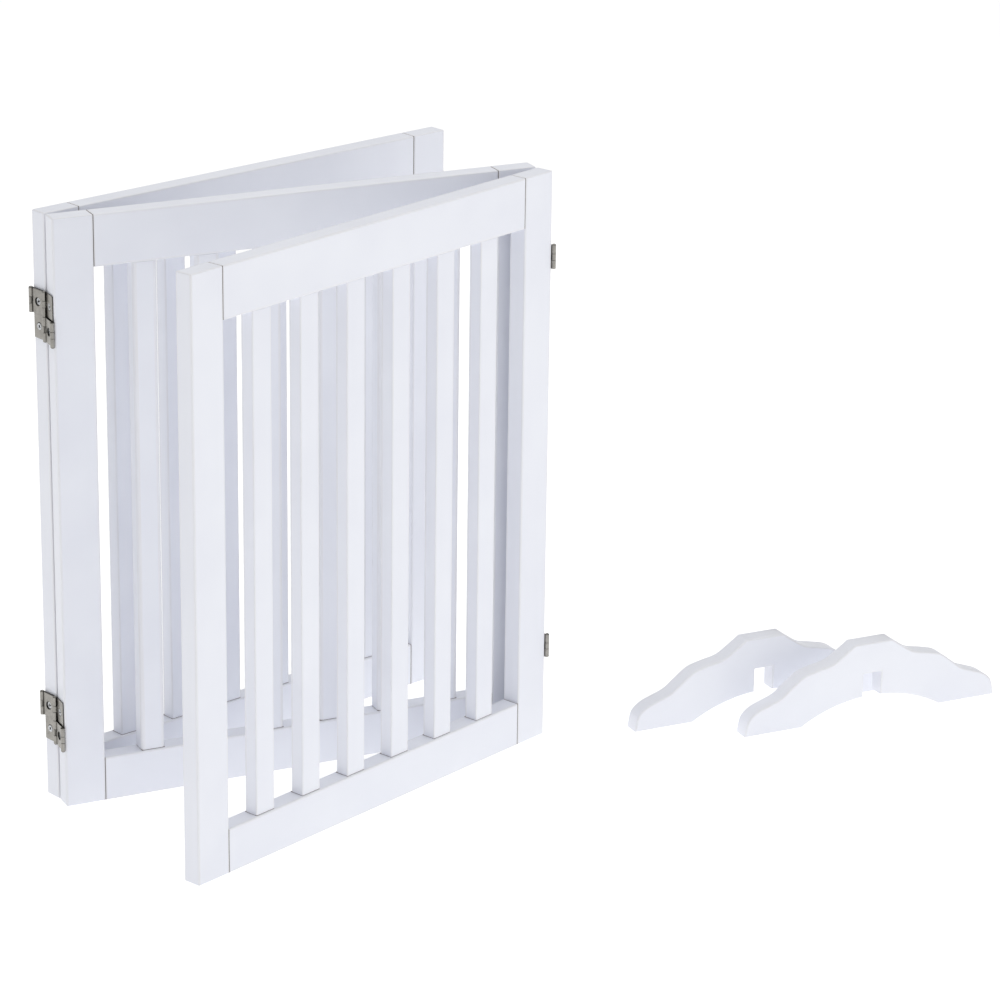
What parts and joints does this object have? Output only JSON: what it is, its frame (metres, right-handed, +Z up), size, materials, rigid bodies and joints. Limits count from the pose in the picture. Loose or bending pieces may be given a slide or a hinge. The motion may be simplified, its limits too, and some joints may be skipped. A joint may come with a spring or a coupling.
{
  "type": "folding pet gate",
  "caption": "Free-standing folding pet gate: hinged slatted panels in white painted wood, with double-action hinges and loose saddle feet.",
  "frame": {"origin": "centre of the whole object's footprint, on the floor", "axes": "+Z up, +X along the middle panel's length, +Y from the gate's front to its back"},
  "size_m": [1.0259, 0.4194, 0.61],
  "materials": {
    "white_paint": "satin white paint on wood",
    "nickel": "satin nickel plate on steel"
  },
  "bodies": {
    "middle_panel": {"middle_stile_left": "white_paint", "middle_stile_right": "white_paint", "middle_rail_top": "white_paint", "middle_rail_bottom": "white_paint", "middle_slat_1": "white_paint", "middle_slat_2": "white_paint", "middle_slat_3": "white_paint", "middle_slat_4": "white_paint", "middle_slat_5": "white_paint", "middle_slat_6": "white_paint", "right_upper_hinge_leaf_middle": "nickel", "right_upper_hinge_link_lower": "nickel", "right_upper_hinge_pin_middle": "nickel", "right_upper_hinge_pin_centre": "nickel", "right_lower_hinge_leaf_middle": "nickel", "right_lower_hinge_link_lower": "nickel", "right_lower_hinge_pin_middle": "nickel", "right_lower_hinge_pin_centre": "nickel", "left_upper_hinge_leaf_middle": "nickel", "left_upper_hinge_link_lower": "nickel", "left_upper_hinge_pin_middle": "nickel", "left_upper_hinge_pin_centre": "nickel", "left_lower_hinge_leaf_middle": "nickel", "left_lower_hinge_link_lower": "nickel", "left_lower_hinge_pin_middle": "nickel", "left_lower_hinge_pin_centre": "nickel"},
    "front_panel": {"front_stile_left": "white_paint", "front_stile_right": "white_paint", "front_rail_top": "white_paint", "front_rail_bottom": "white_paint", "front_slat_1": "white_paint", "front_slat_2": "white_paint", "front_slat_3": "white_paint", "front_slat_4": "white_paint", "front_slat_5": "white_paint", "front_slat_6": "white_paint", "right_upper_hinge_leaf_outer": "nickel", "right_upper_hinge_link_upper": "nickel", "right_upper_hinge_pin_outer": "nickel", "right_lower_hinge_leaf_outer": "nickel", "right_lower_hinge_link_upper": "nickel", "right_lower_hinge_pin_outer": "nickel"},
    "back_panel": {"back_stile_left": "white_paint", "back_stile_right": "white_paint", "back_rail_top": "white_paint", "back_rail_bottom": "white_paint", "back_slat_1": "white_paint", "back_slat_2": "white_paint", "back_slat_3": "white_paint", "back_slat_4": "white_paint", "back_slat_5": "white_paint", "back_slat_6": "white_paint", "left_upper_hinge_leaf_outer": "nickel", "left_upper_hinge_link_upper": "nickel", "left_upper_hinge_pin_outer": "nickel", "left_lower_hinge_leaf_outer": "nickel", "left_lower_hinge_link_upper": "nickel", "left_lower_hinge_pin_outer": "nickel"},
    "rear_foot": {"support_foot_rear": "white_paint"},
    "front_foot": {"support_foot_front": "white_paint"}
  },
  "joints": [
    {"name": "front_fold", "type": "hinge", "parent": "middle_panel", "child": "front_panel", "pos_m": [0.0128, 0.01815, 0.305], "axis": [0, 0, 1], "range_deg": [-24, 112]},
    {"name": "back_fold", "type": "hinge", "parent": "middle_panel", "child": "back_panel", "pos_m": [-0.5044, 0.03965, 0.305], "axis": [0, 0, 1], "range_deg": [-17, 163]},
    {"name": "rear_foot_lift", "type": "slide", "parent": "middle_panel", "child": "rear_foot", "axis": [0, 0, 1], "range_m": [0, 0.12]},
    {"name": "front_foot_lift", "type": "slide", "parent": "middle_panel", "child": "front_foot", "axis": [0, 0, 1], "range_m": [0, 0.12]}
  ]
}
